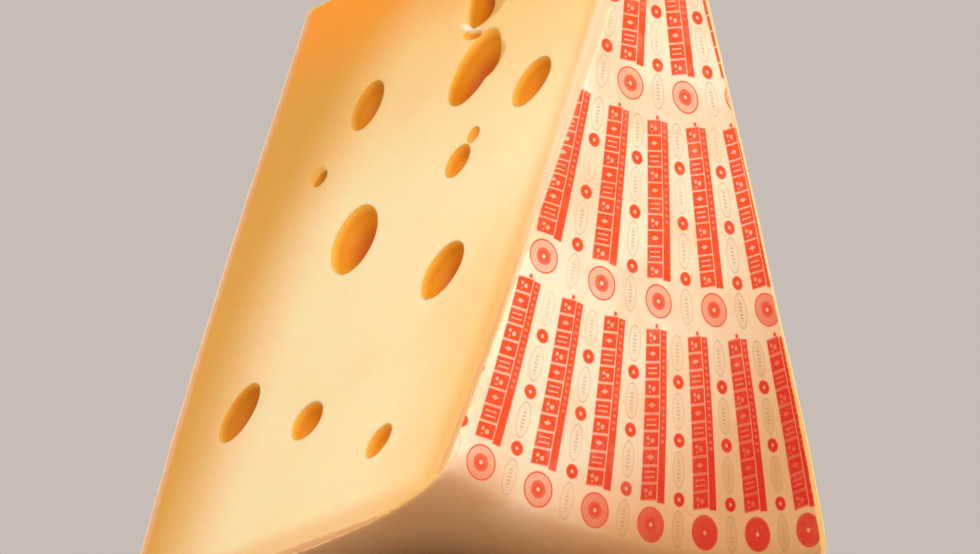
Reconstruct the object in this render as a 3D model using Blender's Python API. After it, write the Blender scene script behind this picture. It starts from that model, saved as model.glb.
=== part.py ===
"""A wedge of emmental, cut from a round wheel with domed faces and stood on its rim, tip up.

Metres, +Z up, the domed faces towards -Y and +Y. The origin is under the middle of the wedge,
on the surface that it stands on. Gas bubbles (eyes) open on the two cut faces.
"""
from math import acos, copysign, cos, hypot, pi, radians, sin, sqrt

import bmesh
import bpy
from mathutils import Matrix, Vector

# The wheel
WHEEL_RADIUS = 0.400
WHEEL_THICKNESS = 0.2765          # at its centre
DOME_DROP = 0.0179                # how far each domed face falls towards the rim, as radius squared
EDGE_DROP = 0.00546               # further fall close to the rim, as radius to the sixth power
RIM_CROWN = 0.030                 # how far the middle of the rim stands out past its shoulders
RIM_FULLNESS = 3.0                # 2 is an ellipse; more gives a flatter rim with tighter shoulders
STAND_DEPTH = 0.3985              # the standing surface, below the wheel's centre

# The two cuts, which meet at the tip
TIP_OFFSET = 0.0115               # the tip, across from the wheel's centre
TIP_DEPTH = 0.0340                # and below it
LEFT_CUT = radians(-18.93)        # from straight down, towards -X
RIGHT_CUT = radians(18.49)        # from straight down, towards +X
TIP_BLUNT = 0.0015                # the thin tip edge is worn back this far
CUT_EDGE_ROUND = 0.0008

# How finely the solid is divided
CELLS_ROUND = 12
CELLS_DOWN = 12
CELLS_THROUGH = 12
EYE_SIDES = 18
EYE_RINGS = 5

# Eyes in millimetres: (down from the tip, across towards +Y, half length, half width,
# turn in degrees of the length from straight down, depth)
LEFT_EYES = (
    (63.0, -31.0, 17.0, 16.0, 0, 10.0),
    (97.0, -44.5, 16.5, 14.5, 150, 8.0),
    (105.9, -38.8, 19.9, 18.3, 163, 19.0),
    (94.7, 48.4, 15.3, 11.4, 167, 14.0),
    (130.3, 70.6, 6.6, 5.8, 118, 8.0),
    (133.2, -91.6, 13.5, 12.6, 29, 14.0),
    (150.9, -56.3, 4.8, 4.1, 145, 5.0),
    (162.9, -49.7, 9.4, 8.3, 158, 10.0),
    (184.7, 20.0, 22.2, 16.5, 154, 21.0),
    (231.8, -66.6, 16.0, 13.8, 20, 16.0),
    (268.0, 72.0, 16.5, 13.5, 20, 15.0),
    (292.0, 8.0, 12.0, 10.5, 100, 12.0),
    (322.0, -58.0, 9.5, 8.0, 40, 9.0),
)
RIGHT_EYES = (
    (84.0, 36.0, 13.5, 11.0, 20, 12.0),
    (118.0, -56.0, 16.0, 13.5, 150, 14.0),
    (146.0, 8.0, 8.0, 7.0, 60, 8.0),
    (172.0, 76.0, 17.5, 14.0, 170, 17.0),
    (192.0, -28.0, 14.5, 12.5, 30, 15.0),
    (228.0, 30.0, 11.0, 9.5, 120, 11.0),
    (240.0, -86.0, 9.0, 8.5, 0, 9.0),
    (272.0, 64.0, 14.0, 12.0, 140, 14.0),
    (286.0, -24.0, 17.5, 14.5, 15, 17.0),
    (318.0, 22.0, 6.0, 5.5, 0, 6.0),
    (322.0, -72.0, 10.5, 9.0, 75, 10.0),
)
MILLIMETRE = 0.001

RIPE_PASTE = (0.93, 0.66, 0.30)


def face_height(radius):
    """Half the wheel's thickness at a distance from its centre."""
    share = radius / WHEEL_RADIUS
    return WHEEL_THICKNESS / 2 - DOME_DROP * share**2 - EDGE_DROP * share**6


def rim_profile(through):
    """Point of the rim's section, as (radius, height), from one shoulder (-1) to the other (1)."""
    shoulder = WHEEL_RADIUS - RIM_CROWN
    turn = min(abs(through), 1) * pi / 2
    radius = shoulder + RIM_CROWN * max(cos(turn), 0) ** (2 / RIM_FULLNESS)
    height = face_height(shoulder) * sin(turn) ** (2 / RIM_FULLNESS)
    return radius, copysign(height, through)


def place_in_wedge(round_share, down_share, through):
    """Where a point of the unit block lands in the wedge, measured from the wheel's centre."""
    turn = LEFT_CUT + (RIGHT_CUT - LEFT_CUT) * round_share
    tip = Vector((TIP_OFFSET, 0, -TIP_DEPTH))
    way = Vector((sin(turn), 0, -cos(turn)))
    rim_radius, rim_height = rim_profile(through)
    along = -tip.dot(way)
    reach = along + sqrt(along**2 + rim_radius**2 - tip.length_squared)
    point = tip + way * (TIP_BLUNT + (reach - TIP_BLUNT) * down_share)
    point.y = rim_height * face_height(hypot(point.x, point.z)) / face_height(rim_radius)
    point.z = max(point.z, -STAND_DEPTH)
    return point


def divide(block, axis, cells):
    """Cut a block of unit size into equal cells along one axis."""
    edges = [edge for edge in block.edges
             if abs((edge.verts[1].co - edge.verts[0].co)[axis]) > 0.5 / cells]
    bmesh.ops.subdivide_edges(block, edges=edges, cuts=cells - 1, use_grid_fill=True)


def wedge_block():
    """The uncut wedge: a unit block divided into cells, each corner carried to its place."""
    block = bmesh.new()
    bmesh.ops.create_cube(block, size=1.0)
    for axis, cells in enumerate((CELLS_ROUND, CELLS_THROUGH, CELLS_DOWN)):
        divide(block, axis, cells)
    for corner in block.verts:
        across, through, up = corner.co
        corner.co = place_in_wedge(across + 0.5, 0.5 - up, through * 2)
    sharp = [edge for edge in block.edges if edge.calc_face_angle() > radians(45)]
    bmesh.ops.bevel(block, geom=sharp, offset=CUT_EDGE_ROUND, segments=1, profile=0.5,
                    affect='EDGES', material=-1)
    return block


def bubble(half_length, half_width, depth):
    """One gas bubble, opening upwards at height 0, with its lid a little above the opening."""
    opening = sqrt(half_length * half_width)
    radius = (opening**2 + depth**2) / (2 * depth)
    centre = radius - depth
    step = acos(centre / radius) / (EYE_RINGS - 0.5)
    shape = bmesh.new()
    points = [shape.verts.new((radius * sin(step * ring), 0, centre - radius * cos(step * ring)))
              for ring in range(EYE_RINGS + 1)]
    edges = [shape.edges.new(pair) for pair in zip(points, points[1:])]
    bmesh.ops.spin(shape, geom=points + edges, cent=(0, 0, 0), axis=(0, 0, 1), angle=2 * pi,
                   steps=EYE_SIDES, use_merge=True)
    bmesh.ops.remove_doubles(shape, verts=shape.verts, dist=1e-6)
    bmesh.ops.holes_fill(shape, edges=shape.edges, sides=EYE_SIDES)
    bmesh.ops.recalc_face_normals(shape, faces=shape.faces)
    stretch = (half_length / opening, half_width / opening, 1)
    bmesh.ops.scale(shape, vec=stretch, verts=shape.verts)
    return shape


def add_eye(wedge, name, cut_turn, outward, eye):
    """Cut one eye into the cut face that lies at a turn from straight down."""
    down, across, half_length, half_width, twist, depth = eye
    shape = bubble(half_length * MILLIMETRE, half_width * MILLIMETRE, depth * MILLIMETRE)
    way = Vector((sin(cut_turn), 0, -cos(cut_turn)))
    side = Vector((0, 1, 0))
    face_out = outward * Vector((cos(cut_turn), 0, sin(cut_turn)))
    seat = Vector((TIP_OFFSET, 0, -TIP_DEPTH)) + way * down * MILLIMETRE + side * across * MILLIMETRE
    long_way = way * cos(radians(twist)) + side * sin(radians(twist))
    short_way = face_out.cross(long_way)
    frame = Matrix((long_way, short_way, face_out)).transposed().to_4x4()
    bmesh.ops.transform(shape, matrix=Matrix.Translation(seat) @ frame, verts=shape.verts)
    mesh = bpy.data.meshes.new(name)
    shape.to_mesh(mesh)
    shape.free()
    cutter = bpy.data.objects.new(name, mesh)
    cutter.hide_render = True
    cutter.display_type = 'WIRE'
    cutter.parent = wedge
    bpy.context.collection.objects.link(cutter)
    cut = wedge.modifiers.new(name, 'BOOLEAN')
    cut.operation = 'DIFFERENCE'
    cut.solver = 'EXACT'
    cut.object = cutter


def paste_material():
    material = bpy.data.materials.new("ripe_paste")
    material.use_nodes = True
    shader = material.node_tree.nodes["Principled BSDF"]
    shader.inputs["Base Color"].default_value = (*RIPE_PASTE, 1)
    shader.inputs["Roughness"].default_value = 0.45
    shader.inputs["Metallic"].default_value = 0.0
    return material


def make_wedge():
    block = wedge_block()
    mesh = bpy.data.meshes.new("cheese_wedge")
    block.to_mesh(mesh)
    block.free()
    mesh.materials.append(paste_material())
    mesh.shade_smooth()
    mesh.set_sharp_from_angle(angle=radians(30))
    wedge = bpy.data.objects.new("cheese_wedge", mesh)
    bpy.context.collection.objects.link(wedge)
    for cut_turn, outward, eyes, side in ((LEFT_CUT, -1, LEFT_EYES, "left"),
                                          (RIGHT_CUT, 1, RIGHT_EYES, "right")):
        for number, eye in enumerate(eyes, start=1):
            add_eye(wedge, f"{side}_eye_{number}", cut_turn, outward, eye)
    middle = sum(place_in_wedge(share, 1, 0).x for share in (0, 1)) / 2
    wedge.location = (-middle, 0, STAND_DEPTH)
    return wedge


for item in list(bpy.data.objects):
    bpy.data.objects.remove(item, do_unlink=True)
make_wedge()
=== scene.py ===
"""The looks of the emmental wedge: paste with gas eyes, rind, and the red rings printed on it.

Metres, +Z up. The wheel that the wedge was cut from has its axis along Y. A place on a cut face
is given in millimetres as (down from the tip edge, across towards +Y).
"""
from math import acos, asin, copysign, cos, hypot, pi, radians, sin, sqrt, tan

import bmesh
import bpy
from mathutils import Matrix, Vector, noise


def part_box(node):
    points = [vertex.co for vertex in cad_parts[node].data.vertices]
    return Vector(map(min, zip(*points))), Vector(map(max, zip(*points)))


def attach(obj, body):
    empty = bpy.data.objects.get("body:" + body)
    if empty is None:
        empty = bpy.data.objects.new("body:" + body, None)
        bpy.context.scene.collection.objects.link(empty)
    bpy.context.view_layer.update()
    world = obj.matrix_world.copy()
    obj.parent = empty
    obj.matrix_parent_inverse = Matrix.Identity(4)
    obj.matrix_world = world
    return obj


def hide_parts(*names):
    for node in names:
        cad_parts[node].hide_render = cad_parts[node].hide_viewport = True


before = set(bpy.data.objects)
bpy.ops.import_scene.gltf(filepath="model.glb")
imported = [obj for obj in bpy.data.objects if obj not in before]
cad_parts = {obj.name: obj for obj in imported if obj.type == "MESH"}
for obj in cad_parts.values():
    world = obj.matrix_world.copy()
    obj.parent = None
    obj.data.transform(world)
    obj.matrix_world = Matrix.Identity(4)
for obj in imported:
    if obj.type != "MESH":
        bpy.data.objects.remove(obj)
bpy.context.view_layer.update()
floor_corner, top_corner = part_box("cheese_wedge")

# ---------------------------------------------------------------- the wheel and its two cuts
MM = 0.001
WHEEL_RADIUS = 0.400
WHEEL_THICKNESS = 0.2765
DOME_DROP = 0.0179
EDGE_DROP = 0.00546
RIM_CROWN = 0.030
RIM_FULLNESS = 3.0
STAND_DEPTH = 0.3985
TIP = Vector((0.0115, 0, -0.0340))
LEFT_CUT = radians(-18.93)
RIGHT_CUT = radians(18.49)
TIP_BLUNT = 0.0015
EDGE_ROUND = 0.0030               # the knife's edge softens to this radius
EDGE_SHARE = 0.3                  # near the tip, to this share of the wedge's width at most
EDGE_CELLS = 3                    # cells in each half of a rounded edge

CELLS_ROUND = 44
CELLS_DOWN = 72
CELLS_THROUGH = 58

# ---------------------------------------------------------------- the eyes
EYE_SIDES = 56
EYE_RINGS = 13
LIP_RINGS = 6
LIP_END = radians(9)              # the slope of the lip where it meets the cut
MOUTH_RISES = (-0.06 * MM, 0.14 * MM)   # a bubble's section ends just above the cut
LID_RISE = 2 * MM                 # how far above its mouth a bubble is closed
SAME_PLACE = 1e-6                 # corners nearer than this are one corner


class Eye:
    """A gas eye where the knife opened it, in millimetres and degrees.

    It leans by how far its deepest point lies off its middle, along its length and its width.
    """

    def __init__(self, down, across, half_length, half_width, turn, depth, lip=0.8, lean=(0, 0)):
        self.down, self.across = down * MM, across * MM
        self.half_length, self.half_width = half_length * MM, half_width * MM
        self.turn = radians(turn)
        self.depth, self.lip = depth * MM, lip * MM
        self.lean = [shift / depth for shift in lean]


LEFT_EYES = (
    Eye(60.5, -23.6, 17.3, 7.8, 161, 17.0, 0.8),
    Eye(103.9, -38.2, 22.4, 16.3, 14, 19.0, 0.8, (8.0, -2.0)),
    Eye(94.6, 48.5, 15.6, 12.0, 171, 14.0, 0.6),
    Eye(131.0, 70.8, 6.6, 5.4, 118, 8.0, 0.5),
    Eye(133.4, -91.8, 14.0, 12.9, 25, 14.0, 0.5),
    Eye(150.8, -56.2, 5.2, 4.5, 148, 5.0, 0.4),
    Eye(163.6, -50.0, 9.8, 8.7, 158, 10.0, 0.4),
    Eye(184.9, 19.4, 22.4, 17.0, 153, 15.0, 0.6),
    Eye(231.4, -66.4, 16.0, 14.0, 20, 15.0, 0.6),
    Eye(268.0, 72.0, 16.5, 13.5, 20, 15.0, 0.8),
    Eye(292.0, 8.0, 12.0, 10.5, 100, 12.0, 0.6),
    Eye(322.0, -58.0, 9.5, 8.0, 40, 9.0, 0.6),
)
# a narrow pocket close to two of the eyes
LEFT_POCKETS = (
    Eye(80.4, -27.2, 9.2, 3.1, 110, 4.5, 0.5),
)
# shallow dishes worn beside three of the eyes, with the paste's finish
LEFT_DISHES = (
    Eye(61.0, -30.8, 19.0, 17.0, 100, 4.2, 1.0),
    Eye(103.4, -51.6, 13.2, 9.8, 8, 2.9, 0.7),
    Eye(128.8, 73.4, 9.8, 7.0, 118, 2.4, 1.0),
)
RIGHT_EYES = (
    Eye(84.0, 36.0, 13.5, 11.0, 20, 12.0),
    Eye(118.0, -56.0, 16.0, 13.5, 150, 14.0),
    Eye(146.0, 8.0, 8.0, 7.0, 60, 8.0, 0.5),
    Eye(172.0, 76.0, 17.5, 14.0, 170, 17.0),
    Eye(192.0, -28.0, 14.5, 12.5, 30, 15.0, 0.7),
    Eye(228.0, 30.0, 11.0, 9.5, 120, 11.0, 0.6),
    Eye(240.0, -86.0, 9.0, 8.5, 0, 9.0, 0.5),
    Eye(272.0, 64.0, 14.0, 12.0, 140, 14.0, 0.7),
    Eye(286.0, -24.0, 17.5, 14.5, 15, 17.0),
    Eye(318.0, 22.0, 6.0, 5.5, 0, 6.0, 0.4),
    Eye(322.0, -72.0, 10.5, 9.0, 75, 10.0, 0.6),
)

# ---------------------------------------------------------------- the uncut wedge
def face_height(radius):
    """Half the wheel's thickness at a distance from its centre."""
    share = radius / WHEEL_RADIUS
    return WHEEL_THICKNESS / 2 - DOME_DROP * share**2 - EDGE_DROP * share**6


def rim_profile(through):
    """Point of the rim's section, as (radius, height), from one shoulder (-1) to the other (1)."""
    shoulder = WHEEL_RADIUS - RIM_CROWN
    rise = sin(min(abs(through), 1) * pi / 2)
    radius = shoulder + RIM_CROWN * max(1 - rise**RIM_FULLNESS, 0) ** (1 / RIM_FULLNESS)
    return radius, copysign(face_height(shoulder) * rise, through)


def cut_way(turn):
    """The way down a cut face that leaves the tip at a turn from straight down."""
    return Vector((sin(turn), 0, -cos(turn)))


def rim_reach(turn, radius):
    """Distance from the tip to the circle of a radius, along a turn from straight down."""
    along = -TIP.dot(cut_way(turn))
    return along + sqrt(along**2 + radius**2 - TIP.length_squared)


def wheel_centre():
    """The wheel's centre in the frame: over the standing surface, off the wedge's middle."""
    corners = [(TIP + cut_way(turn) * rim_reach(turn, WHEEL_RADIUS)).x
               for turn in (LEFT_CUT, RIGHT_CUT)]
    middle = (floor_corner.x + top_corner.x) / 2
    return Vector((middle - sum(corners) / 2, 0, floor_corner.z + STAND_DEPTH))


CENTRE = wheel_centre()


def edge_step(step, size):
    """How far along its face, and how far in from it, a step from a rounded edge lies."""
    turn = pi / 4 * (1 + min(step / EDGE_CELLS, 1))
    return size * (1 - cos(turn)), size * (1 - sin(turn))


def inner_share(step, cells):
    """Share of the way over the cells that lie beyond a rounded edge."""
    return max(step - EDGE_CELLS, 0) / (cells - EDGE_CELLS)


def through_share(step):
    """A line of cells across the rim, counted from the nearer domed face, as 1 to 0."""
    along, _ = edge_step(step, EDGE_ROUND)
    level = 1 - along / face_height(WHEEL_RADIUS - RIM_CROWN)
    return asin(level) * 2 / pi * (1 - inner_share(step, CELLS_THROUGH / 2))


def place_in_wedge(cell_round, cell_through, cell_down):
    """Where a corner of the block's cells lands in the wedge, measured from the wheel's centre."""
    from_cut = min(cell_round, CELLS_ROUND - cell_round)
    from_face = min(cell_through, CELLS_THROUGH - cell_through)
    from_rim = CELLS_DOWN - cell_down
    span = RIGHT_CUT - LEFT_CUT
    rim_radius, rim_height = rim_profile(through_share(from_face) if from_face else 1)

    def distance_down(turn, inset):
        reach = rim_reach(turn, rim_radius)
        if from_rim == 0:
            return reach - inset
        along, _ = edge_step(from_rim, EDGE_ROUND)
        return reach - along - (reach - EDGE_ROUND - TIP_BLUNT) * inner_share(from_rim, CELLS_DOWN)

    distance = distance_down(LEFT_CUT + span * cell_round / CELLS_ROUND, 0)
    size = min(EDGE_ROUND, EDGE_SHARE * distance * span)
    along, inset = edge_step(from_cut, size)
    if from_cut == 0:
        _, along = edge_step(min(from_face, from_rim), size)
    half_width = distance * span / 2
    from_plane = along + (half_width - size) * inner_share(from_cut, CELLS_ROUND / 2)
    turn = from_plane / distance
    turn = LEFT_CUT + turn if cell_round < CELLS_ROUND / 2 else RIGHT_CUT - turn
    point = TIP + cut_way(turn) * distance_down(turn, inset)
    height = rim_height * face_height(hypot(point.x, point.z)) / face_height(rim_radius)
    height -= 0 if from_face else inset
    point.y = copysign(height, cell_through - CELLS_THROUGH / 2)
    return point


def divide(block, axis, cells):
    """Cut a block of unit size into equal cells along one axis."""
    edges = [edge for edge in block.edges
             if abs((edge.verts[1].co - edge.verts[0].co)[axis]) > 0.5 / cells]
    bmesh.ops.subdivide_edges(block, edges=edges, cuts=cells - 1, use_grid_fill=True)


PASTE, RIND, EYE_WALL = range(3)


def wedge_block():
    """The uncut wedge about the wheel's centre: a block of cells, each corner carried over."""
    block = bmesh.new()
    bmesh.ops.create_cube(block, size=1.0)
    cells = (CELLS_ROUND, CELLS_THROUGH, CELLS_DOWN)
    for axis, number in enumerate(cells):
        divide(block, axis, number)
    for face in block.faces:
        face.material_index = PASTE if abs(face.normal.x) > 0.5 else RIND
    for corner in block.verts:
        across, through, up = corner.co
        shares = (across + 0.5, through + 0.5, 0.5 - up)
        corner.co = place_in_wedge(*(round(share * number) for share, number in zip(shares, cells)))
    return block


# ---------------------------------------------------------------- gas bubbles
def bubble_outline(opening, depth, lip):
    """Half section of a bubble as (radius, height): the bowl, its rounded lip, then clear air."""
    radius = (opening**2 + depth**2) / (2 * depth)
    centre = radius - depth
    bowl_end = acos((centre + lip) / radius)
    turns = [bowl_end * ring / EYE_RINGS for ring in range(EYE_RINGS + 1)]
    points = [(radius * sin(turn), centre - radius * cos(turn)) for turn in turns]
    lip_radius = lip / (cos(LIP_END) - cos(bowl_end))
    out, up = points[-1]
    for ring in range(1, LIP_RINGS + 1):
        slope = bowl_end + (LIP_END - bowl_end) * ring / LIP_RINGS
        points.append((out + lip_radius * (sin(bowl_end) - sin(slope)),
                       up + lip_radius * (cos(slope) - cos(bowl_end))))
    edge_out, edge_up = points.pop()
    for rise in MOUTH_RISES:
        points.append((edge_out + rise / sin(LIP_END), edge_up + rise))
    stretch = opening / edge_out
    return [(out * stretch, up) for out, up in points]


def bubble(eye, finish):
    """One gas bubble that opens upwards at height 0, with its lid a little above."""
    opening = sqrt(eye.half_length * eye.half_width)
    shape = bmesh.new()
    outline = bubble_outline(opening, eye.depth, eye.lip)
    points = [shape.verts.new((out, 0, up)) for out, up in outline]
    edges = [shape.edges.new(pair) for pair in zip(points, points[1:])]
    bmesh.ops.spin(shape, geom=points + edges, cent=(0, 0, 0), axis=(0, 0, 1), angle=2 * pi,
                   steps=EYE_SIDES, use_merge=True)
    bmesh.ops.remove_doubles(shape, verts=shape.verts, dist=SAME_PLACE)
    rim = [edge for edge in shape.edges if edge.is_boundary]
    lid = bmesh.ops.extrude_edge_only(shape, edges=rim)["geom"]
    lid_corners = [item for item in lid if isinstance(item, bmesh.types.BMVert)]
    bmesh.ops.translate(shape, vec=(0, 0, LID_RISE), verts=lid_corners)
    bmesh.ops.holes_fill(shape, edges=shape.edges, sides=EYE_SIDES)
    bmesh.ops.recalc_face_normals(shape, faces=shape.faces)
    stretch_and_lean = Matrix(((eye.half_length / opening, 0, -eye.lean[0], 0),
                               (0, eye.half_width / opening, -eye.lean[1], 0),
                               (0, 0, 1, 0),
                               (0, 0, 0, 1)))
    bmesh.ops.transform(shape, matrix=stretch_and_lean, verts=shape.verts)
    for face in shape.faces:
        face.material_index = finish
    return shape


def eye_seat(cut_turn, outward, eye):
    """Where a bubble sits: its length turned on the cut face, its mouth facing outwards."""
    way, side = cut_way(cut_turn), Vector((0, 1, 0))
    face_out = outward * Vector((cos(cut_turn), 0, sin(cut_turn)))
    long_way = way * cos(eye.turn) + side * sin(eye.turn)
    turn = Matrix((long_way, face_out.cross(long_way), face_out)).transposed().to_4x4()
    return Matrix.Translation(TIP + way * eye.down + side * eye.across) @ turn


def bubbles(name, groups):
    """Groups of bubbles, each on one cut face and with one finish, as one cutter."""
    cutter = bmesh.new()
    for cut_turn, outward, eyes, finish in groups:
        for eye in eyes:
            shape = bubble(eye, finish)
            bmesh.ops.transform(shape, matrix=eye_seat(cut_turn, outward, eye), verts=shape.verts)
            one = bpy.data.meshes.new(name)
            shape.to_mesh(one)
            shape.free()
            cutter.from_mesh(one)
            bpy.data.meshes.remove(one)
    mesh = bpy.data.meshes.new(name)
    cutter.to_mesh(mesh)
    cutter.free()
    holder = bpy.data.objects.new(name, mesh)
    bpy.context.scene.collection.objects.link(holder)
    return holder


def cut_away(piece, cutter):
    """Take a cutter out of a piece for good."""
    cut = piece.modifiers.new("cut", 'BOOLEAN')
    cut.operation = 'DIFFERENCE'
    cut.solver = 'EXACT'
    cut.object = cutter
    view = bpy.context.evaluated_depsgraph_get()
    mesh = bpy.data.meshes.new_from_object(piece.evaluated_get(view))
    piece.modifiers.clear()
    piece.data = mesh
    bpy.data.objects.remove(cutter, do_unlink=True)


# ---------------------------------------------------------------- hand-cut unevenness
SLOW_WAVE = (9.0, 0.9 * MM)       # waves per metre, and how far they move the surface
QUICK_WAVE = (38.0, 0.22 * MM)
WAVE_SEED = 71
SWELL = 3.4 * MM                  # how far the right cut has sunk outwards, low down
SWELL_START, SWELL_END = 0.200, 0.345
SWELL_CLEAR = 0.01                # keeps the swell's spread steady at the tip edge
SHARP_ANGLE = radians(40)


def uneven(point):
    """How far a point of the cheese strays from its true place."""
    down = TIP.z - point.z
    low = min(max((down - SWELL_START) / (SWELL_END - SWELL_START), 0), 1)
    spread = max(point.x / ((down + SWELL_CLEAR) * tan(RIGHT_CUT)), 0)
    drift = Vector((SWELL * low**2 * (3 - 2 * low) * min(spread, 1)**4, 0, 0))
    for waves, height in (SLOW_WAVE, QUICK_WAVE):
        drift += noise.noise_vector(point * waves) * height
    return drift


def settle(mesh):
    """Give the wedge its slight unevenness, and stand it on the floor."""
    shape = bmesh.new()
    shape.from_mesh(mesh)
    noise.seed_set(WAVE_SEED)
    for corner in shape.verts:
        corner.co += uneven(corner.co) + CENTRE
        corner.co.z = max(corner.co.z, floor_corner.z)
    shape.to_mesh(mesh)
    shape.free()


def build_wedge(finishes):
    """The finished wedge. Eyes, pockets and dishes meet in places, so each kind is its own cut."""
    block = wedge_block()
    mesh = bpy.data.meshes.new("wedge_of_emmental")
    block.to_mesh(mesh)
    block.free()
    for finish in finishes:
        mesh.materials.append(finish)
    wedge = bpy.data.objects.new("wedge_of_emmental", mesh)
    bpy.context.scene.collection.objects.link(wedge)
    cut_away(wedge, bubbles("eyes", ((LEFT_CUT, -1, LEFT_EYES, EYE_WALL),
                                     (RIGHT_CUT, 1, RIGHT_EYES, EYE_WALL))))
    cut_away(wedge, bubbles("pockets", ((LEFT_CUT, -1, LEFT_POCKETS, EYE_WALL),)))
    cut_away(wedge, bubbles("dishes", ((LEFT_CUT, -1, LEFT_DISHES, PASTE),)))
    settle(wedge.data)
    wedge.data.shade_smooth()
    wedge.data.set_sharp_from_angle(angle=SHARP_ANGLE)
    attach(wedge, "root")
    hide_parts("cheese_wedge")
    return wedge


# ---------------------------------------------------------------- node arithmetic
class Value:
    """A number on a material's surface. Arithmetic on it adds Math nodes to the material."""

    def __init__(self, tree, socket):
        self.tree = tree
        self.socket = socket

    def math(self, operation, *others, clamp=False):
        node = self.tree.nodes.new("ShaderNodeMath")
        node.operation = operation
        node.use_clamp = clamp
        for slot, item in enumerate((self, *others)):
            if isinstance(item, Value):
                self.tree.links.new(item.socket, node.inputs[slot])
            else:
                node.inputs[slot].default_value = item
        return Value(self.tree, node.outputs[0])

    def __add__(self, other):
        return self.math('ADD', other)

    def __sub__(self, other):
        return self.math('SUBTRACT', other)

    def __mul__(self, other):
        return self.math('MULTIPLY', other)

    def __truediv__(self, other):
        return self.math('DIVIDE', other)

    def __rsub__(self, other):
        return self.math('MULTIPLY_ADD', -1.0, other)

    def __neg__(self):
        return self.math('MULTIPLY', -1.0)

    def __abs__(self):
        return self.math('ABSOLUTE')

    def least(self, other):
        return self.math('MINIMUM', other)

    def most(self, other):
        return self.math('MAXIMUM', other)

    def over(self, limit):
        return self.math('GREATER_THAN', limit)

    def wrapped(self, period):
        """The remainder after whole periods, from half a period below 0 to half above."""
        return self.math('WRAP', period / 2, -period / 2)

    def within(self, soft):
        """1 where this distance is below 0, fading to 0 over a soft edge."""
        return self.math('MULTIPLY_ADD', -1 / soft, 0.5, clamp=True)

    def ramp(self, start, end):
        """0 at start and 1 at end, easing between them."""
        node = self.tree.nodes.new("ShaderNodeMapRange")
        node.interpolation_type = 'SMOOTHSTEP'
        self.tree.links.new(self.socket, node.inputs["Value"])
        node.inputs["From Min"].default_value = start
        node.inputs["From Max"].default_value = end
        return Value(self.tree, node.outputs["Result"])


def long_side(a, b):
    """Length of the hypotenuse of two distances."""
    return (a * a + b * b).math('SQRT')


LIGHT_SPREAD = (1.0, 0.60, 0.20)  # how far red, green and blue light travel inside the cheese
MIX_SHARE, MIX_FIRST, MIX_SECOND, MIX_RESULT = 0, 6, 7, 2     # a Mix node's colour sockets


class Finish:
    """A material under construction, with places in millimetres from the wheel's centre."""

    def __init__(self, name):
        self.material = bpy.data.materials.new(name)
        self.material.use_nodes = True
        self.tree = self.material.node_tree
        self.shader = self.tree.nodes["Principled BSDF"]
        where = self.tree.nodes.new("ShaderNodeTexCoord").outputs["Object"]
        mapping = self.tree.nodes.new("ShaderNodeMapping")
        mapping.inputs["Location"].default_value = -CENTRE / MM
        mapping.inputs["Scale"].default_value = (1 / MM,) * 3
        self.tree.links.new(where, mapping.inputs["Vector"])
        self.place = mapping.outputs["Vector"]
        parts = self.tree.nodes.new("ShaderNodeSeparateXYZ")
        self.tree.links.new(self.place, parts.inputs[0])
        self.x, self.y, self.z = (Value(self.tree, parts.outputs[axis]) for axis in range(3))

    def noise(self, size, detail=2.0, roughness=0.5, stretch=(1, 1, 1)):
        """Soft random patches of about a size in millimetres, from 0 to 1."""
        scaled = self.tree.nodes.new("ShaderNodeVectorMath")
        scaled.operation = 'MULTIPLY'
        scaled.inputs[1].default_value = stretch
        self.tree.links.new(self.place, scaled.inputs[0])
        node = self.tree.nodes.new("ShaderNodeTexNoise")
        node.inputs["Scale"].default_value = 1 / size
        node.inputs["Detail"].default_value = detail
        node.inputs["Roughness"].default_value = roughness
        self.tree.links.new(scaled.outputs[0], node.inputs["Vector"])
        return Value(self.tree, node.outputs[0])

    def mix(self, share, first, second):
        """From the first colour to the second by a share."""
        node = self.tree.nodes.new("ShaderNodeMix")
        node.data_type = 'RGBA'
        self.tree.links.new(share.socket, node.inputs[MIX_SHARE])
        for source, slot in ((first, node.inputs[MIX_FIRST]), (second, node.inputs[MIX_SECOND])):
            if isinstance(source, tuple):
                slot.default_value = (*source, 1)
            else:
                self.tree.links.new(source, slot)
        return node.outputs[MIX_RESULT]

    def bump(self, height, millimetres):
        """Raise the surface by a height from 0 to 1 times a distance in millimetres."""
        node = self.tree.nodes.new("ShaderNodeBump")
        node.inputs["Distance"].default_value = millimetres * MM
        self.tree.links.new(height.socket, node.inputs["Height"])
        self.tree.links.new(node.outputs["Normal"], self.shader.inputs["Normal"])

    def link(self, value, name):
        socket = value.socket if isinstance(value, Value) else value
        self.tree.links.new(socket, self.shader.inputs[name])

    def flesh(self, reach, shine):
        """Light comes out of the cheese within a reach, red farthest, and a little shines back."""
        self.shader.inputs["Subsurface Weight"].default_value = 1.0
        self.shader.inputs["Subsurface Radius"].default_value = LIGHT_SPREAD
        self.shader.inputs["Subsurface Scale"].default_value = reach
        self.shader.inputs["Specular IOR Level"].default_value = shine

    def radius(self):
        """Distance from the wheel's axis."""
        return long_side(self.x, self.z)

    def rind_depth(self):
        """How far inside the nearest domed face or the rim a point lies."""
        radius = self.radius()
        share = radius / (WHEEL_RADIUS / MM)
        square = share * share
        height = (square * (-DOME_DROP / MM) + square * square * square * (-EDGE_DROP / MM)
                  + WHEEL_THICKNESS / 2 / MM)
        return (height - abs(self.y)).least(radius * -1.0 + WHEEL_RADIUS / MM)

    def depth_in(self):
        """How far inside the nearer cut face a point lies."""
        depths = []
        for turn, outward in ((LEFT_CUT, -1), (RIGHT_CUT, 1)):
            out = outward * Vector((cos(turn), 0, sin(turn)))
            level = out.dot(TIP) / MM
            depths.append(self.x * -out.x + self.z * -out.z + level)
        return depths[0].least(depths[1])

    def tip_distance(self):
        """How far below the tip edge a point lies."""
        return self.z * -1.0 + TIP.z / MM


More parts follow.
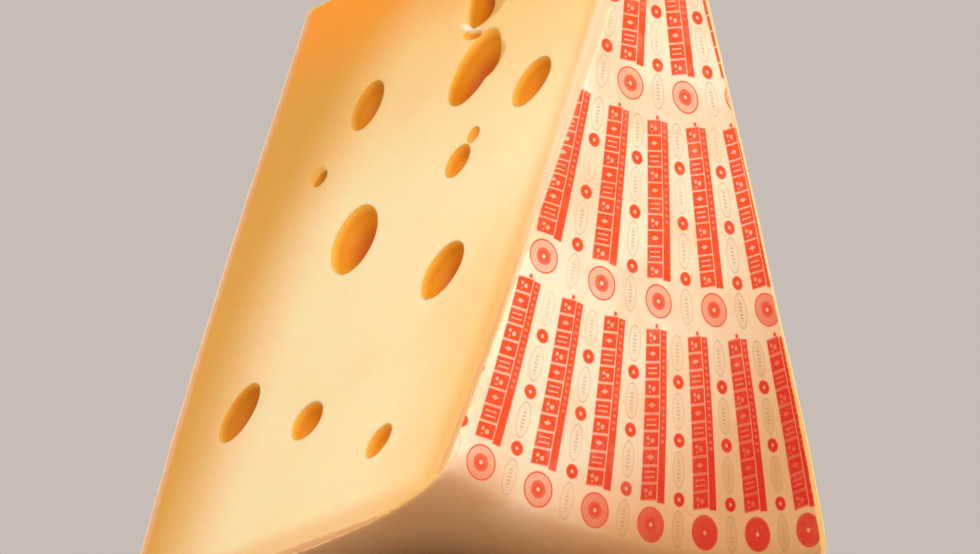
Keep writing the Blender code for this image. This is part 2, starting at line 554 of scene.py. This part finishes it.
PASTE_CREAM = (1.0, 0.76, 0.43)
PASTE_WARM = (0.95, 0.62, 0.25)
PASTE_GOLD = (0.72, 0.35, 0.040)
PASTE_OCHRE = (0.78, 0.40, 0.060)
PASTE_PEACH = (1.0, 0.70, 0.47)
# painted glow where light from behind shines through the thin tip
TIP_GLOW_AMBER = (0.92, 0.33, 0.018)
RIND_CUT = (0.74, 0.41, 0.19)
RIND_PALE = (1.0, 0.84, 0.64)
RIND_BLUSH = (1.0, 0.70, 0.48)
# painted shade: the rind darkens to this towards the lower right of the printed face
RIND_SHADED = (0.72, 0.38, 0.15)
RIND_TAN = (0.60, 0.33, 0.13)
EYE_YELLOW = (0.97, 0.57, 0.09)
# painted warm light bounced round the hollow of an eye
EYE_BOUNCE_ORANGE = (0.78, 0.325, 0.014)
# painted shade deep inside an eye
EYE_DEEP_SHADE = (0.56, 0.125, 0.008)
# painted shade in the eyes towards the back and the tip
EYE_SHADE_OCHRE = (0.50, 0.20, 0.025)
# painted highlight on the crest of the wall between two eyes
RIDGE_HIGHLIGHT_PALE = (0.97, 0.80, 0.66)
RIDGE_HIGHLIGHT_PLACE = (75.2, -23.6)        # down, across
RIDGE_HIGHLIGHT_TURN = 120
RIDGE_HIGHLIGHT_LENGTH, RIDGE_HIGHLIGHT_WIDTH = 10.0, 1.8
INK_RED = (0.90, 0.095, 0.020)
# painted shade: the red ink deepens to this towards the lower right of the printed face
INK_SHADED = (0.68, 0.022, 0.008)
INK_GREY = (0.48, 0.28, 0.11)

# where each tint starts and where it is full, in millimetres
# the gold towards the back is partly the paste's colour, partly painted shade
GOLD_BACK = (35, 122)             # from the middle of the thickness towards the back
GOLD_WIDENS = (190, 50)           # below the tip
GOLD_WIDENING = 22.0
# warmer towards the top: partly the paste's colour, partly painted shade
WARM_TOP = (165, 70)
# painted glow at the thin tip
TIP_GLOW_TOP = (78, 14)
LOW_DOWN = (170, 255)
LOW_FRONT = (55, 112)
# painted light at the front edge
PEACH_LIT_FRONT = (123, 129)
UNDER_RIND = (22, 8)
RIND_LINE = (4.6, 3.2)
DISH_DEPTH = (0.4, 1.9)
RIDGE_HIGHLIGHT_DEPTH = (3, 1.6)
# painted bounce light and painted shade, deeper into an eye
BOUNCE_ORANGE_DEPTH = (1.4, 6.0)
DEEP_SHADE_DEPTH = (7.5, 15.5)
MOUTH_DEPTH = (0.6, 0.0)
# painted shade, darker towards the lower right of the printed face
LOWER_RIGHT_SHADE_PLACE = (235, 405)
# tan over the shoulder and rim: partly painted shade where the face turns away, partly the rim's
# own tan
SHOULDER_SHADE_RADIUS = (376, 402)
# painted glow along the right-hand edge
RIGHT_GLOW_SIDE = (-20, 40)
BARE_EDGE = (1.6, 0.6)


def back_gold_and_shade(finish):
    """0 over the pale middle and front, 1 by the golden back rind; wider towards the tip. What it
    brings in is partly painted shade, darker towards the back.
    """
    down = finish.tip_distance()
    return (finish.y + down.ramp(*GOLD_WIDENS) * GOLD_WIDENING).ramp(*GOLD_BACK)


def paste_colour(finish):
    """Cream in the middle, gold towards the back rind, amber where the tip is thin. The gold and a
    warmer top are partly painted shade, the amber is painted glow of light through the thin tip,
    and the peach front edge is painted light.
    """
    patches = finish.noise(55, detail=3)
    wander = finish.noise(9, detail=3) * 2.4 - 1.2
    depth = finish.rind_depth() + wander
    down = finish.tip_distance() + patches * 30.0 - 15.0
    colour = finish.mix(patches.ramp(0.45, 0.85) * 0.5, PASTE_CREAM, PASTE_WARM)
    # warmer towards the top: partly the paste's colour, partly painted shade
    colour = finish.mix(down.ramp(*WARM_TOP), colour, PASTE_WARM)
    # gold towards the back rind: partly the paste's colour, partly painted shade
    colour = finish.mix(back_gold_and_shade(finish), colour, PASTE_GOLD)
    low_front = down.ramp(*LOW_DOWN) * (finish.y * -1.0).ramp(*LOW_FRONT)
    colour = finish.mix(low_front * 0.9, colour, PASTE_WARM)
    colour = finish.mix(depth.ramp(*UNDER_RIND) * 0.45, colour, PASTE_GOLD)
    # amber at the thin tip: painted glow of the light behind shining through it
    colour = finish.mix(down.ramp(*TIP_GLOW_TOP), colour, TIP_GLOW_AMBER)
    # peach at the front edge, and the rind line fading there: painted light where the front corner
    # catches the light
    lit_front_edge = (finish.y * -1.0 + wander).ramp(*PEACH_LIT_FRONT)
    colour = finish.mix(lit_front_edge, colour, PASTE_PEACH)
    rind = (depth - finish.y.ramp(0, 40) * 1.8).ramp(*RIND_LINE)
    return finish.mix(rind * (lit_front_edge * -0.75 + 1.0), colour, RIND_CUT)


def painted_ridge_highlight(finish):
    """Where the thin wall left between two eyes gets a pale painted highlight along its crest; the
    paste is glossier there too.
    """
    way = cut_way(LEFT_CUT)
    down = finish.x * way.x + finish.z * way.z - way.dot(TIP) / MM - RIDGE_HIGHLIGHT_PLACE[0]
    across = finish.y - RIDGE_HIGHLIGHT_PLACE[1]
    turn = radians(RIDGE_HIGHLIGHT_TURN)
    along = down * cos(turn) + across * sin(turn)
    off = across * cos(turn) - down * sin(turn)
    mark = (long_side(along / RIDGE_HIGHLIGHT_LENGTH, off / RIDGE_HIGHLIGHT_WIDTH) - 1.0).within(0.7)
    return mark * finish.depth_in().ramp(*RIDGE_HIGHLIGHT_DEPTH) * finish.x.math('LESS_THAN', 0.0)


def make_paste():
    """The knife-cut paste: fine grain, faint drag lines, a satin moisture."""
    finish = Finish("cut_paste")
    ridge_highlight = painted_ridge_highlight(finish)
    # ochre deeper in the dishes: partly the paste's deeper colour, partly painted shade where they
    # slope away from the light
    dish_ochre_and_shade = finish.depth_in().ramp(*DISH_DEPTH) * 0.85
    dished = finish.mix(dish_ochre_and_shade, paste_colour(finish), PASTE_OCHRE)
    # pale painted highlight on the crest of the wall between two eyes
    finish.link(finish.mix(ridge_highlight, dished, RIDGE_HIGHLIGHT_PALE), "Base Color")
    grain = finish.noise(1.6, detail=4, roughness=0.6)
    drag = finish.noise(26, detail=3, stretch=(1, 0.06, 1))
    finish.bump(grain * 0.35 + drag * 0.65, 0.35)
    finish.link((grain * 0.18 + 0.36) * (ridge_highlight * -0.6 + 1.0), "Roughness")
    finish.flesh(0.009, 0.12)
    return finish.material


def make_eye_wall():
    """The inside of an eye: smooth, and deeper in colour the further in: orange as painted warm
    light bounced round the hollow, then dark red-brown as painted shade deep inside.
    """
    finish = Finish("eye_wall")
    depth = finish.depth_in()
    patches = finish.noise(24, detail=2)
    # orange further in: painted warm light bounced round the hollow
    colour = finish.mix((depth + patches * 2.0).ramp(*BOUNCE_ORANGE_DEPTH), EYE_YELLOW, EYE_BOUNCE_ORANGE)
    # dark red-brown deepest in: painted shade
    colour = finish.mix((depth + patches * 3.0).ramp(*DEEP_SHADE_DEPTH), colour, EYE_DEEP_SHADE)
    # duller ochre towards the back and the tip: painted shade
    colour = finish.mix(back_gold_and_shade(finish) * 0.6, colour, EYE_SHADE_OCHRE)
    colour = finish.mix(depth.ramp(*MOUTH_DEPTH), colour, paste_colour(finish))
    # pale painted highlight on the crest of the wall between two eyes
    colour = finish.mix(painted_ridge_highlight(finish), colour, RIDGE_HIGHLIGHT_PALE)
    finish.link(colour, "Base Color")
    ripple = finish.noise(7, detail=2)
    finish.bump(ripple, 0.4)
    finish.link(ripple * 0.12 + 0.38, "Roughness")
    finish.flesh(0.005, 0.10)
    return finish.material


# ---------------------------------------------------------------- the print, in millimetres
INK_EDGE = 0.6
# each ring: it starts beyond this radius, then its medallions' radius, the angle between columns,
# the first column, the length of its columns of blocks, and the step from oval to oval
PRINT_RINGS = (
    (78.0, 168.9, radians(11.362), radians(-2.93), 77.0, 26.2),
    (177.5, 269.1, radians(7.255), radians(-12.09), 75.8, 26.1),
    (278.6, 372.0, radians(5.041), radians(-12.98), 79.4, 26.85),
)
STACK_OUTER = -10.4               # where a column of blocks starts, from the medallion's centre
STACK_TAPER = -0.0019
BLOCKS = 10
BLOCK_LEAN = 0.16
BLOCK_MIDDLE = -2.15              # across the column
BLOCK_HALF_WIDTH, BLOCK_HALF_HEIGHT = 4.75, 3.5
BLOCK_HOLES = ((-3.9, 0.7, 0.75), (-1.3, -0.5, 1.0), (-3.7, -1.9, 0.4))     # across, along, radius
CUTOUT_MIDDLE = -2.2
SLOT_PLACE, SLOT_HALF_WIDTH, SLOT_HALF_LENGTH = 1.2, 0.2, 2.9
OUT_OF_REACH = 99                 # moves a cut-out away from the blocks of another kind
BAR_MIDDLE, BAR_HALF_WIDTH = 5.15, 2.2
DOT_ACROSS, DOT_BEYOND, DOT_RADIUS = 0.3, 1.3, 1.1
FLECK_STEP, FLECK_START, FLECK_ACROSS = 3.1, 26, 5.2
MEDALLION_EDGE, MEDALLION_RING, MEDALLION_LINE, MEDALLION_DASHES = 7.3, 7.55, 6.2, 5.2
MEDALLION_SUN, MEDALLION_CLEAR, MEDALLION_RAYS = 4.3, 0.95, 22.0
DISC_RADIUS, DISC_CLEAR, DISC_ACROSS = 3.3, 0.8, 0.3
DISCS_INNER, DISCS_OUTER = -72.0, -6.0
OVAL_HALF_WIDTH, OVAL_HALF_LENGTH = 3.5, 8.2
OVALS_MIDDLE, OVALS_HALF_SPAN = -39.8, 49.3
STROKE_STEP, STROKE_HALF_LENGTH, STROKES_HALF_SPAN = 1.7, 0.95, 5.0


def ring_values(radius):
    """What PRINT_RINGS says, past its first item, of the ring that a radius falls in."""
    values = []
    for item in range(1, len(PRINT_RINGS[0])):
        value = PRINT_RINGS[0][item]
        for ring, before in zip(PRINT_RINGS[1:], PRINT_RINGS):
            value = radius.over(ring[0]) * (ring[item] - before[item]) + value
        values.append(value)
    return values


def column_place(radius, angle, pitch, medallion, offset):
    """Place in the nearest column, as (across, outwards from the medallion's centre)."""
    cell = angle / pitch + offset
    turn = (cell - (cell + 0.5).math('FLOOR')) * pitch
    return radius * turn.math('SINE'), radius * turn.math('COSINE') - medallion


def block_stack(x, y, length, lower_right_shade):
    """Ten leaning blocks with cut-outs beside a solid bar, narrowing a little inwards."""
    inwards = STACK_OUTER - y
    x = x / (inwards * STACK_TAPER + 1.0)
    leaning = inwards - (x + 2.0) * BLOCK_LEAN
    pitch = length / BLOCKS
    number = (leaning / pitch).math('FLOOR')
    along = leaning - (number + 0.5) * pitch
    middle = length / 2
    column = abs(x - BLOCK_MIDDLE) - BLOCK_HALF_WIDTH
    whole = column.most(abs(leaning - middle) - middle)
    holes = [long_side(x - hole_across, along - hole_along) - radius
             for hole_across, hole_along, radius in BLOCK_HOLES]
    holes = holes[0].least(holes[1]).least(holes[2])
    from_middle = abs(x - CUTOUT_MIDDLE)
    slots = abs(abs(along) - SLOT_PLACE) - SLOT_HALF_WIDTH
    slots = slots.most(from_middle - SLOT_HALF_LENGTH)
    diamond = from_middle * 0.5 + abs(along) - 1.0
    kind = number.math('MODULO', 3.0)
    cutout = (holes + kind.over(0.5) * OUT_OF_REACH).least(slots + abs(kind - 1.0) * OUT_OF_REACH)
    cutout = cutout.least(diamond + kind.math('LESS_THAN', 1.5) * OUT_OF_REACH)
    blocks = whole.most(abs(along) - BLOCK_HALF_HEIGHT).most(-cutout)
    bar = (abs(x - BAR_MIDDLE) - BAR_HALF_WIDTH).most(abs(inwards - middle) - middle)
    dot = long_side(x - DOT_ACROSS, inwards - length - DOT_BEYOND) - DOT_RADIUS
    fleck = (abs((inwards / FLECK_STEP).wrapped(1.0)) - 0.2).within(0.12)
    fleck = fleck * (abs(x - FLECK_ACROSS) - 0.9).within(0.6) * inwards.over(FLECK_START)
    # the column's tint grows towards the lower right as painted shade
    tint = whole.within(INK_EDGE) * (lower_right_shade * 0.4 + 0.4)
    return blocks.least(bar).least(dot).within(INK_EDGE).most(tint) * (fleck * -0.25 + 1.0)


def medallion_ink(x, y, lower_right_shade):
    """A ring round a sun of fine rays, with a clear middle."""
    reach = long_side(x, y)
    rays = (x.math('ARCTAN2', y) * MEDALLION_RAYS).math('COSINE') * 0.5 + 0.5
    ring = (abs(reach - MEDALLION_RING) - 0.45).within(INK_EDGE) * 0.95
    fine = (abs(reach - MEDALLION_LINE) - 0.2).within(0.3) * 0.62
    dashes = (abs(reach - MEDALLION_DASHES) - 0.5).within(0.3) * (rays * 0.3 + 0.32)
    sun = (reach - MEDALLION_SUN).within(0.8) * (rays * reach.ramp(1.8, 4.4) * -0.3 + 0.97)
    # the medallion's tint grows towards the lower right as painted shade
    tint = (reach - MEDALLION_EDGE).within(0.3) * (lower_right_shade * 0.66 + 0.3)
    clear = (reach - MEDALLION_CLEAR).within(0.5) * -0.85 + 1.0
    return ring.most(fine).most(dashes).most(sun).most(tint) * clear


def disc_ink(x, y, step):
    """Small discs half-way between the ovals, each with a clear middle."""
    reach = long_side(x - DISC_ACROSS, (y + step / 2).wrapped(step))
    disc = (reach - DISC_RADIUS).within(INK_EDGE)
    return disc * ((reach - DISC_CLEAR).within(0.7) * -0.75 + 1.0)


def oval_ink(x, y, step, lower_right_shade):
    """Thin ovals with a row of short strokes along their middle, filled in towards the lower right
    as painted shade.
    """
    y = y.wrapped(step)
    spread = (long_side(x / OVAL_HALF_WIDTH, y / OVAL_HALF_LENGTH) - 1.0) * 4.0
    outline = (abs(spread) - 0.16).within(0.4)
    inner = (abs(spread + 0.85) - 0.08).within(0.4) * 0.4
    strokes = (abs((y / STROKE_STEP).wrapped(1.0)) - 0.26).within(0.3)
    strokes = strokes * (abs(x) - STROKE_HALF_LENGTH).within(0.6)
    strokes = strokes * (abs(y) - STROKES_HALF_SPAN).within(0.5)
    return outline.most(inner).most(strokes).most(spread.within(0.4) * lower_right_shade * 0.35)


def print_ink(finish, lower_right_shade):
    """How much red and how much grey ink lies on the face, each from 0 to 1."""
    radius = finish.radius()
    side = finish.y.math('SIGN') * -1.0
    angle = (finish.x * side).math('ARCTAN2', -finish.z)
    medallion, pitch, first, length, step = ring_values(radius)
    angle = angle - first
    x, y = column_place(radius, angle, pitch, medallion, 0.0)
    between_x, between_y = column_place(radius, angle, pitch, medallion, 0.5)
    bleed = finish.noise(1.3, detail=2) * 0.3 - 0.15
    x, between_x = x + bleed, between_x + bleed
    span = abs(between_y - OVALS_MIDDLE).math('LESS_THAN', OVALS_HALF_SPAN)
    discs = disc_ink(between_x, between_y, step)
    discs = discs * between_y.math('LESS_THAN', DISCS_OUTER) * between_y.over(DISCS_INNER)
    red = block_stack(x, y, length, lower_right_shade).most(medallion_ink(x, y, lower_right_shade)).most(discs)
    grey = oval_ink(between_x, between_y, step, lower_right_shade) * span
    printed = radius.over(PRINT_RINGS[0][0])
    return red * printed, grey * printed


def make_rind():
    """Printed rind on the domed faces, plain tan rind round the rim, bare paste at the cuts.
    Painted shade darkens it towards the lower right and over the shoulder; painted glow warms the
    bare right-hand edge.
    """
    finish = Finish("printed_rind")
    patches = finish.noise(30, detail=3)
    broad = finish.noise(85, detail=2)
    colour = finish.mix(patches.ramp(0.38, 0.68), RIND_PALE, RIND_BLUSH)
    radius = finish.radius()
    # darker rind, deeper red ink and fuller print towards the lower right: painted shade where the
    # light falls off
    lower_right_shade = (finish.x + radius * 0.9 + broad * 60.0 - 30.0).ramp(*LOWER_RIGHT_SHADE_PLACE)
    colour = finish.mix(lower_right_shade * 0.9, colour, RIND_SHADED)
    # tan over the shoulder and round the rim: partly painted shade where the face turns away,
    # partly the rim's own tan
    shoulder_shade_and_tan = (radius + patches * 16.0).ramp(*SHOULDER_SHADE_RADIUS)
    colour = finish.mix(shoulder_shade_and_tan * 0.9, colour, RIND_TAN)
    red, grey = print_ink(finish, lower_right_shade)
    wear = finish.noise(14, detail=5, roughness=0.65).ramp(0.22, 0.5) * 0.14 + 0.86
    speckle = finish.noise(1.1, detail=3, roughness=0.7).ramp(0.25, 0.5) * 0.12 + 0.88
    faint = finish.noise(48, detail=1).ramp(0.3, 0.7) * 0.3 + 0.26 + lower_right_shade * 0.5
    from_cut = finish.depth_in() + (finish.noise(6) - 0.5) * 1.2
    # the bare strip on the right is wider and warm: painted glow of the light behind
    right_glow = finish.x.ramp(*RIGHT_GLOW_SIDE)
    bare = (from_cut - right_glow * 0.5).ramp(*BARE_EDGE)
    colour = finish.mix(grey * faint, colour, INK_GREY)
    # the red ink deepens towards the lower right as painted shade
    ink_with_shade = finish.mix(lower_right_shade, INK_RED, INK_SHADED)
    colour = finish.mix(red * wear * speckle, colour, ink_with_shade)
    # warm paste colour on the bare right-hand edge: painted glow of the light behind
    edge = finish.mix(right_glow, RIND_BLUSH, PASTE_WARM)
    colour = finish.mix(bare, colour, edge)
    finish.link(colour, "Base Color")
    pores = finish.noise(2.2, detail=4, roughness=0.6)
    dents = finish.noise(19, detail=2)
    finish.bump(pores * 0.4 + dents * 0.6, 0.5)
    finish.link(pores * 0.2 + 0.42, "Roughness")
    finish.flesh(0.007, 0.18)
    return finish.material


# ---------------------------------------------------------------- floor, light and camera
FLOOR_GAP = 0.2 * MM


def make_floor():
    """A wide pale floor that is seen only from above."""
    shape = bmesh.new()
    bmesh.ops.create_circle(shape, cap_ends=True, segments=96, radius=14.0)
    mesh = bpy.data.meshes.new("studio_floor")
    shape.to_mesh(mesh)
    shape.free()
    material = bpy.data.materials.new("pale_floor")
    material.use_nodes = True
    tree = material.node_tree
    shader = tree.nodes["Principled BSDF"]
    shader.inputs["Base Color"].default_value = (0.80, 0.77, 0.74, 1)
    shader.inputs["Roughness"].default_value = 0.75
    clear = tree.nodes.new("ShaderNodeBsdfTransparent")
    under = tree.nodes.new("ShaderNodeNewGeometry").outputs["Backfacing"]
    either = tree.nodes.new("ShaderNodeMixShader")
    tree.links.new(under, either.inputs[0])
    tree.links.new(shader.outputs[0], either.inputs[1])
    tree.links.new(clear.outputs[0], either.inputs[2])
    tree.links.new(either.outputs[0], tree.nodes["Material Output"].inputs["Surface"])
    mesh.materials.append(material)
    floor = bpy.data.objects.new("studio_floor", mesh)
    floor.location.z = floor_corner.z - FLOOR_GAP
    bpy.context.scene.collection.objects.link(floor)


def add_light(name, place, aim, size, power, colour):
    """A soft square light at a place, turned to its aim, and out of sight itself."""
    lamp = bpy.data.lights.new(name, 'AREA')
    lamp.shape = 'SQUARE'
    lamp.size = size
    lamp.energy = power
    lamp.color = colour
    holder = bpy.data.objects.new(name, lamp)
    holder.location = place
    holder.visible_camera = False
    holder.rotation_euler = (Vector(aim) - Vector(place)).to_track_quat('-Z', 'Y').to_euler()
    bpy.context.scene.collection.objects.link(holder)


def light_studio():
    add_light("key_left", (-1.5, -1.1, 0.9), (0, 0, 0.15), 0.9, 11, (1.0, 0.96, 0.90))
    add_light("near_front", (-0.55, -0.8, 0.52), (0, 0, 0.22), 0.4, 2.9, (1.0, 0.97, 0.93))
    add_light("front_fill", (-0.5, -2.4, 0.5), (0, 0, 0.2), 1.4, 4, (1.0, 0.97, 0.94))
    add_light("low_fill", (-1.1, -0.9, -0.35), (-0.05, 0, 0.1), 0.9, 4, (1.0, 0.97, 0.94))
    add_light("right_rim", (1.5, 0.75, 0.75), (0.05, 0, 0.1), 0.8, 15, (1.0, 0.90, 0.74))
    add_light("back_rim", (0.2, 1.7, 1.0), (0, 0, 0.25), 0.6, 6, (1.0, 0.90, 0.75))
    world = bpy.data.worlds.new("pale_studio")
    world.use_nodes = True
    sky = world.node_tree.nodes["Background"]
    sky.inputs["Color"].default_value = (0.84, 0.75, 0.69, 1)
    sky.inputs["Strength"].default_value = 0.68
    bpy.context.scene.world = world


CAMERA_FROM_CENTRE = Vector((-1.3355, -1.6608, -1.0147))
CAMERA_TURN = radians(-39.13)
CAMERA_RISE = radians(20.65)
CAMERA_LENS = 175.9
CAMERA_SHIFT = (0.00478, -0.02177)


def add_camera():
    lens = bpy.data.cameras.new("camera")
    lens.lens = CAMERA_LENS
    lens.sensor_width = 36
    lens.shift_x, lens.shift_y = CAMERA_SHIFT
    camera = bpy.data.objects.new("camera", lens)
    camera.location = CENTRE + CAMERA_FROM_CENTRE
    camera.rotation_euler = (pi / 2 + CAMERA_RISE, 0, CAMERA_TURN)
    bpy.context.scene.collection.objects.link(camera)
    bpy.context.scene.camera = camera


build_wedge((make_paste(), make_rind(), make_eye_wall()))
make_floor()
light_studio()
add_camera()
bpy.context.scene.view_settings.view_transform = 'Standard'
